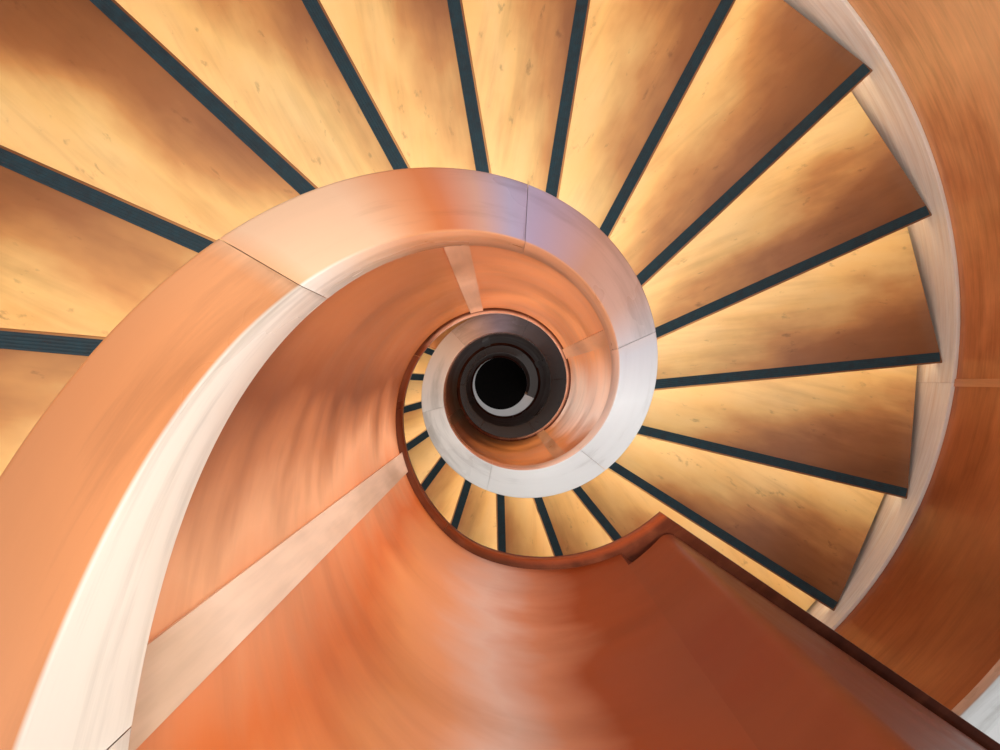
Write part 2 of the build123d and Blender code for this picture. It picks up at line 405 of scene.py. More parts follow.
class Nodes:
    """A short way to write the nodes of a material or the world."""

    def __init__(self, owner):
        self.owner = owner
        owner.use_nodes = True
        self.tree = owner.node_tree

    def add(self, kind, inputs=(), **settings):
        """A new node. Its inputs are given in their order, or by name in a dictionary."""
        node = self.tree.nodes.new(kind)
        for key, value in settings.items():
            setattr(node, key, value)
        given = inputs.items() if isinstance(inputs, dict) else enumerate(inputs)
        for key, value in given:
            self.feed(node.inputs[key], value)
        return node

    def feed(self, socket, value):
        """Sets a socket, or links it where the value is another node's output."""
        if isinstance(value, bpy.types.NodeSocket):
            self.tree.links.new(value, socket)
        else:
            socket.default_value = value

    def attribute(self, name, output="Fac"):
        return self.add("ShaderNodeAttribute", attribute_name=name).outputs[output]

    def grain(self):
        return self.attribute("grain", "Vector")

    def own_place(self):
        return self.add("ShaderNodeTexCoord").outputs["Object"]

    def standing_grain(self, upright):
        """Stands in for the grain attribute, along the object's own axes."""
        place = self.own_place()
        if not upright:
            return self.scaled(place, 0.08, 0.08, 1.0)
        apart = self.apart(place)
        turned = [apart["Z"], apart["X"], apart["Y"]]
        return self.add("ShaderNodeCombineXYZ", turned).outputs[0]

    def apart(self, vector):
        return self.add("ShaderNodeSeparateXYZ", [vector]).outputs

    def math(self, operation, *values):
        return self.add("ShaderNodeMath", values, operation=operation).outputs[0]

    def scaled(self, vector, x, y, z):
        factors = (x, y, z)
        return self.add(
            "ShaderNodeVectorMath", [vector, factors], operation="MULTIPLY").outputs[0]

    def noise(self, vector, scale, detail=4.0, roughness=0.5, distortion=0.0):
        return self.add("ShaderNodeTexNoise", {
            "Vector": vector, "Scale": scale, "Detail": detail, "Roughness": roughness,
            "Distortion": distortion}).outputs["Fac"]

    def ramp(self, value, *stops):
        """A colour ramp. Each stop has its place and its colour."""
        node = self.add("ShaderNodeValToRGB", [value])
        band = node.color_ramp
        while len(band.elements) < len(stops):
            band.elements.new(0.5)
        for element, (place, colour) in zip(band.elements, stops):
            element.position = place
            element.color = (*colour[:3], 1.0)
        return node.outputs["Color"]

    def level(self, value, low, high, out_low=0.0, out_high=1.0):
        """The value's place between low and high, as a number between the last two."""
        inputs = [value, low, high, out_low, out_high]
        return self.add("ShaderNodeMapRange", inputs, clamp=True).outputs["Result"]

    def spread(self, noise, out_low, out_high):
        """Brings a noise, which mostly lies between 0.3 and 0.7, between two numbers."""
        return self.level(noise, 0.3, 0.7, out_low, out_high)

    def mix(self, factor, first, second, blend="MIX"):
        inputs = {"Factor": factor, 6: first, 7: second}
        return self.add(
            "ShaderNodeMix", inputs, data_type="RGBA", blend_type=blend).outputs[2]

    def bump(self, height, strength, distance):
        inputs = {"Strength": strength, "Distance": distance, "Height": height}
        return self.add("ShaderNodeBump", inputs).outputs["Normal"]

    def surface(self, **values):
        names = {
            "colour": "Base Color", "roughness": "Roughness", "normal": "Normal",
            "coat": "Coat Weight", "coat_roughness": "Coat Roughness",
            "glow": "Emission Color", "glow_strength": "Emission Strength",
            "specular": "Specular IOR Level",
        }
        for key, value in values.items():
            self.feed(self.tree.nodes["Principled BSDF"].inputs[names[key]], value)
        return self.owner


def material_nodes(name):
    return Nodes(bpy.data.materials.new(name))


def wood_figure(nodes, grain, stretch=14.0):
    """Long streaks along the board, the broad cloud that they lie in, and fine pores."""
    long = nodes.scaled(grain, 1.0, stretch, stretch)
    streaks = nodes.noise(long, 2.2, 6.0, 0.62, 0.25)
    cloud = nodes.noise(nodes.scaled(grain, 1.0, 1.6, 1.6), 2.4, 4.0, 0.55, 0.2)
    pores = nodes.noise(nodes.scaled(grain, 4.0, 50.0, 50.0), 2.0, 2.0, 0.5)
    return streaks, cloud, pores


def figure_blend(nodes, streaks, cloud, share):
    """The streaks and the cloud together, with this share of streaks."""
    rest = nodes.math("MULTIPLY", cloud, 1 - share)
    return nodes.math("MULTIPLY_ADD", streaks, share, rest)


# Where the dark, middle and light shade lie in that blend
figure_places = (0.34, 0.5, 0.66)
grain_depth = 0.0006


def wood_relief(nodes, streaks, pores, strength):
    return nodes.bump(nodes.math("ADD", streaks, pores), strength, grain_depth)


def knots(nodes, grain, density=1.5, size=0.045, bare=0.72):
    """Sparse dark knots, as a factor that is 1 at a knot's heart. bare is the share of
    places without one."""
    cells = nodes.add("ShaderNodeTexVoronoi", {
        "Vector": nodes.scaled(grain, 1.0, 1.5, 1.5), "Scale": density}).outputs
    near = nodes.level(cells["Distance"], size, size * 0.25)
    red = nodes.add("ShaderNodeSeparateColor", [cells["Color"]]).outputs[0]
    return nodes.math("MULTIPLY", near, nodes.math("GREATER_THAN", red, bare))


def by_place(nodes, place, hues):
    """A colour that changes along the stair, from the places and colours listed."""
    first, last = hues[0][0], hues[-1][0]
    return nodes.ramp(
        nodes.level(place, first, last),
        *[((step - first) / (last - first), linear(*colour)) for step, colour in hues])


def varnished(name, dark, middle, light, streak=0.5, coat=0.5, roughness=0.35, knotty=True,
              stretch=14.0, hues=None, side_from=0.0, side_to=-0.5, upright=None,
              relief=0.12, pored=0.92, coat_roughness=0.12, specular=0.5):
    """Varnished wood or veneer in three shades of one screen colour. With hues, the face on the
    well's side takes its colour from its place along the stair instead, painted light and shade
    included. upright is given where the grain doesn't follow the stair: True if it runs up, False
    if it lies level.
    pored is how bright the pores stay."""
    nodes = material_nodes(name)
    dark, middle, light = linear(*dark), linear(*middle), linear(*light)
    grain = nodes.grain() if upright is None else nodes.standing_grain(upright)
    streaks, cloud, pores = wood_figure(nodes, grain, stretch)
    blend = figure_blend(nodes, streaks, cloud, streak)
    blend = nodes.math("ADD", blend, nodes.level(nodes.attribute("tone"), 0, 1, -0.06, 0.06))
    colour = nodes.ramp(blend, *zip(figure_places, (dark, middle, light)))
    if hues:
        wandering = nodes.spread(cloud, -0.4, 0.4)
        wandering = nodes.math("ADD", nodes.attribute("place"), wandering)
        shades = ((0.66, 0.62, 0.58), (0.9, 0.9, 0.9), (1.0, 1.0, 1.0))
        shade = nodes.ramp(blend, *zip(figure_places, shades))
        shown = nodes.mix(1.0, by_place(nodes, wandering, hues), shade, "MULTIPLY")
        facing = nodes.level(nodes.attribute("side"), side_from, side_to)
        colour = nodes.mix(facing, colour, shown)
    if knotty:
        heart = (*(part * 0.3 for part in dark[:3]), 1.0)
        colour = nodes.mix(knots(nodes, grain), colour, heart)
    pitting = nodes.level(pores, 0.35, 0.6, pored, 1.0)
    colour = nodes.mix(1.0, colour, pitting, "MULTIPLY")
    rough = nodes.spread(cloud, roughness * 0.75, roughness * 1.25)
    return nodes.surface(
        colour=colour, roughness=rough, normal=wood_relief(nodes, streaks, pores, relief),
        coat=coat, coat_roughness=coat_roughness, specular=specular)


# Colours of the wood along the stair, with painted light and shade in them: places in steps,
# and the colour on a screen at each. Between two places one colour passes into the other.

# Well panels: dark deep in the well, under the copings and on the top landing's guard as painted
# shade, with pale stretches that are painted reflections
panel_hues_and_painted_light = (
    (26.0, (52, 28, 18)), (32.0, (92, 46, 26)), (34.5, (188, 106, 50)), (36.4, (206, 122, 68)),
    (37.8, (238, 206, 184)), (38.8, (234, 192, 164)), (40.0, (222, 140, 84)),
    (42.6, (232, 144, 86)), (44.4, (216, 128, 74)), (45.4, (180, 104, 52)),
    (47.1, (180, 102, 54)), (48.0, (144, 74, 34)), (48.7, (196, 120, 74)),
    (49.4, (246, 174, 124)), (50.7, (214, 108, 50)), (51.4, (218, 134, 78)),
    (52.0, (212, 136, 90)), (52.7, (200, 158, 138)), (53.3, (176, 108, 76)),
    (54.0, (128, 54, 20)), (55.2, (114, 54, 30)), (56.0, (106, 38, 16)),
)
# Outer wall's face towards the steps: its lighter and darker stretches are painted light and
# painted shade
wall_hues_and_painted_light = (
    (34.0, (214, 140, 92)), (36.2, (206, 120, 68)), (37.6, (158, 84, 42)), (38.7, (206, 122, 70)),
    (39.6, (236, 156, 100)), (41.0, (252, 194, 136)), (45.0, (218, 146, 96)),
)
# Soffit lip's face towards the well: dark deep in the well and near the top as painted shade, the
# pale peach stretch painted light
rim_hues_and_painted_light = (
    (26.0, (60, 30, 20)), (33.0, (120, 56, 34)), (36.0, (216, 154, 122)), (45.4, (236, 184, 154)),
    (46.8, (128, 62, 38)), (49.0, (72, 28, 16)), (52.0, (104, 46, 24)), (56.0, (142, 66, 36)),
)
# Joint cover strips on the well wall: pale wood, darker and more orange deeper in the well as
# painted shade
strip_hues_and_painted_light = (
    (26.0, (48, 28, 18)), (33.0, (92, 52, 32)), (35.5, (204, 132, 84)), (40.0, (228, 154, 104)),
    (44.0, (234, 164, 120)), (46.0, (240, 186, 148)), (48.0, (246, 208, 176)),
    (54.0, (246, 206, 174)),
)
# Coping tops: orange wood at the top, then grey-white and lilac stretches that are painted
# reflections of the sky, and dark lower turns that are painted shade
coping_hues_and_painted_light = (
    (8.0, (50, 30, 18)), (15.0, (80, 54, 38)), (20.0, (48, 31, 23)), (23.6, (84, 60, 54)),
    (24.6, (146, 123, 127)), (26.0, (196, 146, 118)), (27.6, (222, 178, 146)),
    (30.0, (226, 212, 198)), (33.0, (238, 238, 232)), (38.6, (250, 252, 252)),
    (39.8, (216, 212, 216)), (40.8, (210, 164, 146)), (42.0, (192, 138, 116)),
    (43.2, (160, 138, 158)), (43.6, (160, 146, 166)), (44.1, (190, 140, 122)),
    (44.7, (196, 104, 56)), (45.1, (212, 138, 94)), (45.6, (228, 180, 144)),
    (46.6, (238, 190, 152)), (46.75, (236, 158, 104)), (48.0, (228, 144, 88)),
    (52.0, (226, 150, 100)),
)
# The coping's pale ash board on the well's side: darker and more orange lower down, as painted
# shade
fascia_hues_and_painted_shade = (
    (20.0, (56, 36, 28)), (30.0, (130, 76, 50)), (33.5, (190, 116, 78)), (35.5, (224, 176, 146)),
    (38.6, (226, 198, 180)), (40.4, (214, 150, 110)), (45.2, (210, 142, 98)),
    (45.9, (232, 196, 164)), (46.5, (242, 230, 214)), (49.0, (240, 226, 208)),
    (52.0, (240, 228, 212)),
)


# Materials of the pieces

well_veneer = varnished(
    "well veneer", (168, 94, 56), (204, 128, 84), (226, 156, 112),
    streak=0.35, coat=0.2, roughness=0.45, knotty=False, stretch=5.0, hues=panel_hues_and_painted_light,
    relief=0.02, pored=1.0, coat_roughness=0.35, specular=0.2)
outer_veneer = varnished(
    "outer veneer", (150, 84, 50), (190, 120, 78), (214, 148, 102),
    streak=0.6, coat=0.3, roughness=0.4, stretch=10.0, hues=wall_hues_and_painted_light)
ash = varnished(
    "ash string", (238, 222, 202), (250, 240, 226), (254, 248, 238),
    streak=0.7, coat=0.3, roughness=0.4, knotty=False, stretch=18.0)
joint_wood = varnished(
    "joint strip", (238, 200, 170), (247, 212, 184), (252, 220, 192),
    streak=0.3, coat=0.3, knotty=False, stretch=12.0, hues=strip_hues_and_painted_light, upright=True)
# Dark brown, darkened so that the lip's ledge beside the well shows as a dark line of painted
# shade; the lip's face towards the well takes the rim colours
soffit_wood = varnished(
    "soffit veneer", (54, 26, 18), (84, 42, 28), (112, 62, 42),
    knotty=False, hues=rim_hues_and_painted_light, side_from=-0.985, side_to=-0.995)
riser_wood = varnished(
    "riser board", (150, 92, 48), (186, 124, 70), (212, 152, 94),
    streak=0.6, coat=0.3, roughness=0.4, knotty=False)


def coping_material():
    """The coping's boards change from orange at the top of the stair to grey-white a turn
    below and dark further down, with a pale board on the side towards the well. The grey-white
    and lilac stretches are painted reflections, the dark is painted shade."""
    nodes = material_nodes("coping boards")
    grain = nodes.grain()
    place = nodes.attribute("place")
    streaks, cloud, pores = wood_figure(nodes, grain, 9.0)
    # The colour along the stair carries the painted reflections and painted shade
    wandering = nodes.math("ADD", place, nodes.spread(cloud, -0.1, 0.1))
    hue = by_place(nodes, wandering, coping_hues_and_painted_light)
    fascia = nodes.level(nodes.attribute("side"), -0.93, -0.985)
    hue = nodes.mix(fascia, hue, by_place(nodes, place, fascia_hues_and_painted_shade))
    shades = ((0.62, 0.60, 0.58), (0.96, 0.96, 0.96), (1.0, 1.0, 1.0))
    blend = figure_blend(nodes, streaks, cloud, 0.6)
    shade = nodes.ramp(blend, *zip(figure_places, shades))
    colour = nodes.mix(1.0, hue, shade, "MULTIPLY")
    colour = nodes.mix(knots(nodes, grain, 1.6, 0.05), colour, linear(96, 52, 34))
    normal = wood_relief(nodes, streaks, pores, 0.12)
    return nodes.surface(colour=colour, roughness=nodes.spread(cloud, 0.22, 0.4),
                         normal=normal, coat=0.3, coat_roughness=0.15, specular=0.3)


coping_wood = coping_material()
beam_wood = varnished(
    "landing edge beam", (150, 84, 50), (190, 120, 78), (214, 148, 102),
    streak=0.6, upright=False)
post_wood = varnished(
    "end post", (196, 136, 96), (224, 168, 128), (238, 194, 158),
    streak=0.6, knotty=False, upright=True)


def tread_material():
    """Treads are pale at the back, below the next nosing, and brown in front: the pale is a
    painted glow of the light under that nosing.
    """
    nodes = material_nodes("tread boards")
    grain = nodes.grain()
    streaks, cloud, pores = wood_figure(nodes, grain, 12.0)
    glow_edge_noise = nodes.noise(nodes.scaled(grain, 1.0, 2.2, 2.2), 2.2, 4.0, 0.5)
    reach = nodes.math("ADD", nodes.attribute("side"), nodes.spread(glow_edge_noise, -0.07, 0.07))
    reach = nodes.math("ADD", reach, nodes.level(nodes.attribute("tone"), 0, 1, -0.03, 0.03))
    # The painted glow: palest next to the riser behind, fading to the tread's brown towards its
    # nosing
    colour = nodes.ramp(
        nodes.level(reach, 0.0, 0.6), (0.1, linear(253, 222, 158)),
        (0.28, linear(250, 208, 134)), (0.42, linear(220, 158, 94)),
        (0.58, linear(170, 110, 64)), (0.85, linear(134, 84, 48)))
    figure = nodes.ramp(
        figure_blend(nodes, streaks, cloud, 0.5), (0.3, (0.78, 0.74, 0.70)),
        (0.5, (0.97, 0.96, 0.95)), (0.7, (1.0, 1.0, 1.0)))
    colour = nodes.mix(1.0, colour, figure, "MULTIPLY")
    scuffs = nodes.noise(nodes.scaled(grain, 4.0, 9.0, 9.0), 3.0, 4.0, 0.6, 0.2)
    colour = nodes.mix(nodes.level(scuffs, 0.64, 0.76, 0.0, 0.45), colour, linear(96, 60, 38))
    colour = nodes.mix(knots(nodes, grain, 1.2, 0.04), colour, linear(70, 40, 24))
    normal = wood_relief(nodes, streaks, pores, 0.15)
    return nodes.surface(colour=colour, roughness=nodes.spread(cloud, 0.32, 0.5),
                         normal=normal, coat=0.25, coat_roughness=0.2)


tread_wood = tread_material()


def strip_material():
    nodes = material_nodes("nosing strip rubber")
    dust = nodes.noise(nodes.grain(), 30.0, 5.0, 0.7)
    colour = nodes.ramp(dust, (0.35, linear(18, 40, 48)), (0.75, linear(38, 68, 78)))
    return nodes.surface(colour=colour, roughness=nodes.spread(dust, 0.5, 0.8),
                         normal=nodes.bump(dust, 0.3, 0.0005))


def painted_shade_material():
    # Near black, as painted shade
    nodes = material_nodes("painted shade plate")
    dust = nodes.noise(nodes.grain(), 24.0, 5.0, 0.7)
    colour = nodes.ramp(dust, (0.35, linear(12, 10, 10)), (0.75, linear(26, 22, 20)))
    return nodes.surface(colour=colour, roughness=nodes.spread(dust, 0.8, 0.95),
                         specular=0.1)


def light_material(name, power):
    """A row of small warm lights behind a pale cover."""
    nodes = material_nodes(name)
    dots = nodes.noise(nodes.scaled(nodes.grain(), 60.0, 1.0, 1.0), 1.0, 0.0)
    strength = nodes.spread(dots, power * 0.9, power * 1.1)
    return nodes.surface(
        colour=linear(250, 230, 190), glow=(1.0, 0.84, 0.60, 1.0), glow_strength=strength,
        roughness=0.5)


def steel_material():
    nodes = material_nodes("foot steel")
    cloud = nodes.noise(nodes.own_place(), 18.0, 6.0, 0.6)
    colour = nodes.ramp(cloud, (0.3, linear(42, 42, 45)), (0.7, linear(66, 66, 70)))
    return nodes.surface(colour=colour, roughness=nodes.spread(cloud, 0.4, 0.6),
                         normal=nodes.bump(cloud, 0.1, 0.0005))


light_strip_power = 9.5

strip_rubber = strip_material()
painted_shade_plate_material = painted_shade_material()
light_glow = light_material("warm light strip", light_strip_power)
light_off = light_material("light strip switched off", 0.0)
foot_steel = steel_material()


# Walls round the well

well_seams = seams_between(foot_end, last_step, well_seam_angles)


def parting(seams):
    """The joint nearest above the mid landing's middle, between the lower and upper node."""
    middle = landing_start(0) + landing_steps / 2
    return min(place for place in seams if place > middle)


def on_facets(places):
    """The same places, each moved to the nearest facet corner of the CAD."""
    return [round(place * facets) / facets for place in places]


def split_run(name, section, start, end, seams, material, slot, tones, last_shift=None):
    """A run from the foot to the top landing's end, in a lower and an upper piece."""
    middle = parting(seams)
    gap = steps_in(seam_gap, section[-1][0]) / 2
    runs = (
        ("lower", start, middle - gap, [place for place in seams if place < middle]),
        ("upper", middle + gap, end, [place for place in seams if place > middle]),
    )
    for storey, low, high, inside in runs:
        build = Build()
        panels(build, section, low, high, inside, rows_per_step, tones,
               last_shift if storey == "upper" else None)
        build.object(f"{storey}_{name}_boards", material, slot, [f"{storey}_{name}"])


def well_walls():
    section = rounded(
        well_panel_radius, inner_wall_radius, wall_base, inner_coping_bottom, panel_edge,
        fine=1)
    split_run(
        "well_wall", section, -lead_in_steps, guard_line(guard_front), [foot_end] + well_seams,
        well_veneer, "well_veneer", (guard_tone,), last_shift=guard_shift)


def guard_outline(radius_in, radius_out, front, back):
    """Plan of the guard across the top landing: along the well, round its outer corner, out
    along its face and back to where the well wall meets it. Each point is (x out from the
    axis, y before the end line, run), where run is the distance along the veneer from the
    wall's end."""
    outline = []
    corner = guard_corner_radius
    first = math.asin(front / radius_in)
    last = math.asin((back + corner) / (radius_in + corner))
    for number in range(guard_curve_rows + 1):
        turned = first + (last - first) * number / guard_curve_rows
        outline.append((radius_in * math.cos(turned), -radius_in * math.sin(turned),
                        radius_in * (first - turned)))
    run = outline[-1][2]
    centre = ((radius_in + corner) * math.cos(last), -back - corner)
    for number in range(1, guard_curve_rows + 1):
        turned = math.pi - last + (last - math.pi / 2) * number / guard_curve_rows
        outline.append((centre[0] + corner * math.cos(turned),
                        centre[1] + corner * math.sin(turned),
                        run + corner * (math.pi - last - turned)))
    run = outline[-1][2]
    for number in range(1, guard_face_rows + 1):
        out = centre[0] + (radius_out - centre[0]) * number / guard_face_rows
        outline.append((out, -back, run + out - centre[0]))
    meeting = math.sqrt((radius_in + inner_wall_thickness) ** 2 - front * front)
    return outline + [(radius_out, -front, run + radius_out),
                      (meeting, -front, meeting - outline[0][0])]


def guard_solid(name, node, outline, bottom, top, material, slot, edge, side):
    """An upright solid with this plan, its top edges rounded. Its face towards the landing
    has a side of 1, so that it takes the plain wood without the painted shade of the well's side."""
    build = Build()
    levels = [(bottom, 0.0), (bottom + panel_edge, 0.0), (top - edge, 0.0)]
    for number in range(1, guard_edge_rows + 1):
        turned = math.radians(90 * number / guard_edge_rows)
        levels.append((top - edge + edge * math.sin(turned), edge * (1 - math.cos(turned))))
    points, grain = [], []
    turned = math.radians(angle_at(last_step))
    along = math.radians(step_angle) * guard_line(guard_front)(well_panel_radius)
    middle_out = sum(x for x, _, _ in outline) / len(outline)
    middle_across = sum(y for _, y, _ in outline) / len(outline)
    for height, inset in levels:
        for x, y, run in outline:
            x += math.copysign(min(inset, abs(middle_out - x)), middle_out - x)
            y += math.copysign(min(inset, abs(middle_across - y)), middle_across - y)
            points.append(turned_point(x, y, turned, height))
            grain.append(guard_shift + Vector((
                along * well_middle + run, height - coping_top(last_step), 0.0)))
    length = max(run for _, _, run in outline)
    place = [last_step - guard_hue_steps * (1 - run / length) for _, _, run in outline]
    sides = [side] * (len(outline) - 2) + [1.0, 1.0]
    build.add(points, grid_faces(len(levels), len(outline)), grain, guard_tone,
              place * len(levels), sides * len(levels))
    build.object(name, material, slot, [node])


# The guard's veneer carries on from the last panel of the well wall
well_middle = (well_panel_radius + inner_wall_radius) / 2
guard_shift = far_off()
guard_tone = 0.5
# Over this many steps the guard's faces on the well's side take the painted shade of the panel
# colours' last steps
guard_hue_steps = 0.8


def guard():
    outline = guard_outline(well_panel_radius, outer_radius, guard_front, guard_back)
    guard_solid(
        "guard_panel", "landing_guard_wall", outline, hull_line(last_step) + bed_gap,
        inner_coping_bottom(last_step), well_veneer, "well_veneer", panel_edge, -1.0)
    side = guard_coping_side
    outline = guard_outline(
        inner_coping_radius, outer_radius + side, guard_front + side, guard_back - side)
    guard_solid(
        "guard_cap", "landing_guard_coping", outline, inner_coping_bottom(last_step),
        coping_top(last_step), coping_wood, "coping_wood", coping_edge, 0.0)


def inner_copings():
    section = rounded(
        inner_coping_radius, inner_coping_radius + coping_width, inner_coping_bottom,
        coping_top, coping_edge, fine=4)
    start = -lead_in_steps - steps_in(end_post_thickness, well_panel_radius)
    boards = math.ceil((last_step - shortest_panel_steps) / coping_board_steps)
    seams = [number * coping_board_steps for number in range(1, boards)]
    split_run(
        "inner_coping", section, start, guard_line(guard_front + guard_coping_side), seams,
        coping_wood, "coping_wood", inner_coping_tones)


def well_covers():
    half = steps_in(well_cover_width, well_panel_radius) / 2
    middle = parting(well_seams)
    section = rounded(
        well_panel_radius - cover_projection, well_panel_radius, wall_base,
        inner_coping_bottom, cover_edge)
    builds = (Build(), Build())
    for place in [foot_end + half] + well_seams:
        sweep(builds[place >= middle], section, place - half, place + half,
              cover_rows_per_step, chance.random())
    for storey_name, build in zip(storey_names, builds):
        build.object(f"{storey_name}_well_cover_strips", joint_wood, "joint_wood",
                     [f"{storey_name}_well_joint_covers"])


# Outer walls


def outer_ends(storey):
    """Where a storey's outer wall starts and ends."""
    start = storey * storey_steps - lead_in_steps
    return start, landing_start(storey) + landing_return_steps


def outer_walls():
    post = steps_in(end_post_thickness, outer_wall_radius)
    for storey, storey_name in enumerate(storey_names):
        start, end = outer_ends(storey)
        seams = seams_between(max(start, foot_end), end, outer_seam_angles)
        if not storey:
            seams = [foot_end] + seams
        for kind, radii, line, edge, material, slot in (
            ("outer_wall", (outer_wall_radius, outer_radius), outer_coping_bottom,
             panel_edge, outer_veneer, "outer_veneer"),
            ("outer_string", (string_face_radius, outer_wall_radius), string_top,
             string_edge, ash, "ash_string"),
        ):
            build = Build()
            section = rounded(*radii, wall_base, line, edge)
            panels(build, section, start, end, seams, rows_per_step, wall_tones)
            build.object(f"{storey_name}_{kind}_boards", material, slot,
                         [f"{storey_name}_{kind}"])
        build = Build()
        section = rounded(
            string_face_radius, string_face_radius + coping_width, outer_coping_bottom,
            coping_top, coping_edge, fine=4)
        coping_seams = on_facets(seams_between(start - post, end + post, outer_seam_angles))
        panels(build, section, start - post, end + post, coping_seams, rows_per_step,
               outer_coping_tones)
        build.object(f"{storey_name}_outer_coping_boards", coping_wood, "coping_wood",
                     [f"{storey_name}_outer_coping"])
        outer_covers(storey_name, [place for place in seams if place != foot_end])


def outer_covers(storey_name, seams):
    half = steps_in(outer_cover_width, outer_wall_radius) / 2
    section = rounded(
        outer_wall_radius - cover_projection, outer_wall_radius, string_top,
        outer_coping_bottom, cover_edge)
    build = Build()
    for place in seams:
        sweep(build, section, place - half, place + half, cover_rows_per_step,
              chance.random())
    build.object(f"{storey_name}_outer_cover_strips", joint_wood, "joint_wood",
                 [f"{storey_name}_outer_joint_covers"])


def soffits():
    count = round((last_step - foot_end) / soffit_panel_steps)
    length = (last_step - foot_end) / count
    seams = [foot_end + length * number for number in range(1, count)]
    section = rounded(
        well_panel_radius - lip_projection, outer_radius + lip_projection, soffit_bottom,
        hull_line, soffit_edge)
    half = count // 2
    gap = steps_in(seam_gap, outer_radius) / 2
    for storey_name, low, high, inside in (
        ("lower", foot_end, seams[half - 1] - gap, seams[:half - 1]),
        ("upper", seams[half - 1] + gap, guard_line(landing_end_setback), seams[half:]),
    ):
        build = Build()
        panels(build, section, low, high, inside, soffit_rows_per_step, soffit_tones)
        build.object(f"{storey_name}_soffit_panels", soffit_wood, "soffit_wood",
                     [f"{storey_name}_soffit"])


# Steps


def line_point(turned, offset, radius):
    """Where a line that points along this angle, this far behind the axis, meets a circle."""
    along = math.sqrt(radius * radius - offset * offset)
    return (along * math.cos(turned) - offset * math.sin(turned),
            along * math.sin(turned) + offset * math.cos(turned))


def tread_section(front, back, fine=3):
    """A tread's section, with its nosing rounded."""
    section = [(1.0, back, -tread_thickness), (1.0, back, 0.0)]
    for start, level in ((90, -tread_edge), (180, tread_edge - tread_thickness)):
        for number in range(fine + 1):
            turned = math.radians(start + 90 * number / fine)
            section.append((0.0, front + tread_edge * (1 + math.cos(turned)),
                            level + tread_edge * math.sin(turned)))
    return section


def flat_section(front, back, bottom):
    return [(0.0, front, bottom), (0.0, back, bottom), (0.0, back, 0.0), (0.0, front, 0.0)]


def board(build, step, top, section, radius_in, radius_out, span=1.0, tone=0.0, stations=14,
          behind=None):
    """A board across the stair. Each point of its section has its share of the way from the
    front line to the back line, its offset from there and its height. behind stands in for
    the distance to the next riser where there is none."""
    shift = far_off()
    points, grain, place, side = [], [], [], []
    turned = math.radians(angle_at(step))
    for station in range(stations + 1):
        radius = radius_in + (radius_out - radius_in) * station / stations
        for share, offset, height in section:
            x, y = line_point(math.radians(step_angle * span * share), offset, radius)
            points.append(turned_point(x, y, turned, top + height))
            grain.append(shift + Vector((x, y, height)))
            place.append(share)
            side.append(behind or (1 - share) * math.radians(step_angle * span) * radius)
    build.add(points, grid_faces(stations + 1, len(section)), grain, tone, place, side)


def places_of_steps(storey):
    """Each step's number in its storey, its place and the height of its top."""
    return [(number, storey * storey_steps + number,
             (storey * storey_risers + number + 1) * riser) for number in range(storey_risers)]


def steps():
    """Treads, the boards under them and the rubber strips."""
    radius_in, radius_out = inner_wall_radius, string_face_radius
    for storey, storey_name in enumerate(storey_names):
        treads, risers, strips = Build(), Build(), Build()
        tread = tread_section(-nosing_overhang, riser_thickness)
        for number, step, top in places_of_steps(storey):
            if number < flight_steps:
                board(treads, step, top, tread, radius_in, radius_out,
                      tone=chance.random())
            base = foot_plate_thickness if step == 0 else 0.0
            height = riser - tread_thickness - base
            section = flat_section(0.0, riser_thickness, -height)
            board(risers, step, top - tread_thickness, section, radius_in, radius_out,
                  tone=chance.random(), stations=4)
            board(strips, step, top + strip_thickness, strip_section(),
                  radius_in + strip_end_gap, radius_out - strip_end_gap, stations=2)
        treads.object(f"{storey_name}_tread_boards", tread_wood, "tread_wood",
                      [f"{storey_name}_treads"])
        risers.object(f"{storey_name}_riser_boards", riser_wood, "tread_wood",
                      [f"{storey_name}_risers"])
        strips.object(f"{storey_name}_grip_strips", strip_rubber, "nosing_strip",
                      [f"{storey_name}_nosing_strips"])


# A rib of the rubber strip and the groove beside it, in shares of the ribs' pitch and of the
# strip's thickness
rib_outline = ((0.1, 0.0), (0.7, 0.0), (0.8, 0.4), (0.98, 0.4))


def strip_section():
    """A flat strip with shallow grooves along it."""
    front = strip_setback - nosing_overhang
    section = [(0.0, front + strip_width, -strip_thickness)]
    pitch = strip_width / strip_ribs
    for number in range(strip_ribs):
        edge = front + strip_width - number * pitch
        section += [(0.0, edge - pitch * across, -strip_thickness * deep)
                    for across, deep in rib_outline]
    section.append((0.0, front, -strip_thickness))
    return section


def light_strips():
    """A thin warm light under each nosing. Those of the lower storey are switched off."""
    front = light_setback - nosing_overhang
    section = flat_section(front, front + light_width, -light_depth)
    for storey, glow in enumerate((light_off, light_glow)):
        build = Build()
        for _, step, top in places_of_steps(storey):
            board(build, step, top - tread_thickness, section,
                  inner_wall_radius + light_end_gap, string_face_radius - light_end_gap,
                  stations=2)
        build.object(f"{storey_names[storey]}_nosing_lights", glow, "joint_wood")


# Landings and foot

# A landing has no riser behind it. Its boards take the painted glow of a tread this far from one.
landing_behind = 0.27


def landings():
    for storey, name in enumerate(("mid_landing", "top_landing")):
        last = storey == storeys - 1
        top = landing_height(storey)
        back = -guard_front if last else riser_thickness
        build = Build()
        curved_board(build, landing_start(storey), landing_steps, top, back)
        build.object(f"{name}_floor_board", tread_wood, "tread_wood", [f"{name}_floor"])


def curved_board(build, step, span, top, back):
    """A floor board that bends round the axis from its front line to its back line."""
    upper_line = []
    for row in range(landing_rows + 1):
        share = row / landing_rows
        upper_line.append((share, -nosing_overhang + (back + nosing_overhang) * share, 0.0))
    lower_line = [(share, offset, -tread_thickness) for share, offset, _ in upper_line]
    section = upper_line + lower_line[::-1]
    board(build, step, top, section, inner_wall_radius, string_face_radius, span=span,
          tone=chance.random(), stations=10, behind=landing_behind)


